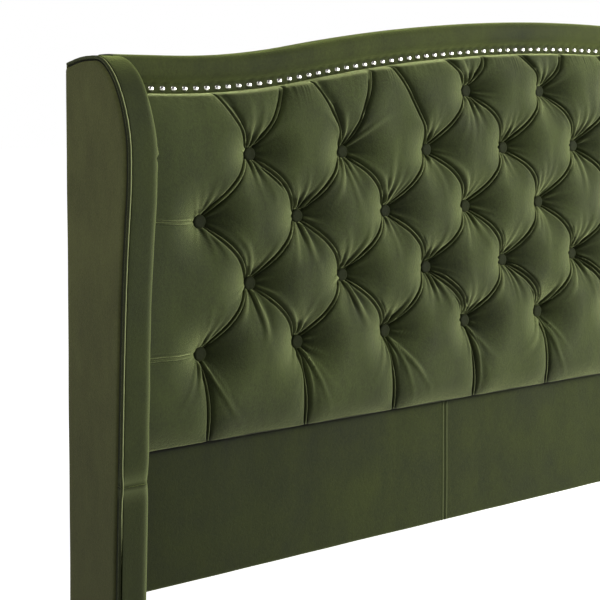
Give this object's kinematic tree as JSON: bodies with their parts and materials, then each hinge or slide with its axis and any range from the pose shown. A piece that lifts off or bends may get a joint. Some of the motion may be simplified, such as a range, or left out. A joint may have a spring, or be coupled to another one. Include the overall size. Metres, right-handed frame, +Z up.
{
  "type": "upholstered headboard",
  "caption": "Camelback wing headboard with a diamond-tufted velvet pad, nailhead border, plain apron and slotted legs that bolt to a bed frame.",
  "frame": {"origin": "on the floor, in the middle of the width and of the depth", "axes": "+X to the right as seen by someone facing the tufted front, +Y towards the wall behind, +Z up; the mattress side faces -Y"},
  "size_m": [2.08, 0.205, 1.27],
  "materials": {
    "velvet_pad": "cut-pile velvet, deep olive, soft sheen",
    "velvet_trim": "cut-pile velvet, deep olive, soft sheen",
    "velvet_side": "cut-pile velvet, deep olive, flatter pile",
    "foam": "open-cell polyurethane foam",
    "cambric": "spun-bonded dust cloth",
    "twine": "waxed tufting twine",
    "pine": "planed, unfinished",
    "plywood": "sanded sheet, unfinished",
    "nickel": "polished nickel plate",
    "zinc_steel": "bright zinc plate",
    "glide_plastic": "moulded, satin"
  },
  "bodies": {
    "root": {"apron_board": "plywood", "apron_cover_centre": "velvet_trim", "apron_cover_left": "velvet_trim", "apron_cover_right": "velvet_trim", "bolt_washers": "zinc_steel", "border_band": "velvet_trim", "bottom_rail": "pine", "button_ties": "twine", "dust_cover": "cambric", "floor_glides": "glide_plastic", "leg_left": "pine", "leg_right": "pine", "lower_upright_left": "pine", "lower_upright_right": "pine", "middle_rail": "pine", "nailheads": "nickel", "rail_screws": "zinc_steel", "threaded_inserts": "zinc_steel", "tie_washers": "zinc_steel", "top_rail": "pine", "tuft_buttons": "velvet_pad", "tuft_foam": "foam", "tufted_cover": "velvet_pad", "tufting_board": "plywood", "upper_upright_left": "pine", "upper_upright_right": "pine", "wing_back_cover_left": "velvet_side", "wing_back_cover_right": "velvet_side", "wing_bolts": "zinc_steel", "wing_foot_block_left": "pine", "wing_foot_block_right": "pine", "wing_front_rib_left": "pine", "wing_front_rib_right": "pine", "wing_inner_board_left": "plywood", "wing_inner_board_right": "plywood", "wing_leg_pad_left": "velvet_trim", "wing_leg_pad_right": "velvet_trim", "wing_middle_block_left": "pine", "wing_middle_block_right": "pine", "wing_outer_board_left": "plywood", "wing_outer_board_right": "plywood", "wing_pad_left": "velvet_trim", "wing_pad_right": "velvet_trim", "wing_piping_left": "velvet_trim", "wing_piping_right": "velvet_trim", "wing_post_left": "pine", "wing_post_right": "pine", "wing_side_cover_left": "velvet_side", "wing_side_cover_right": "velvet_side"}
  },
  "joints": []
}
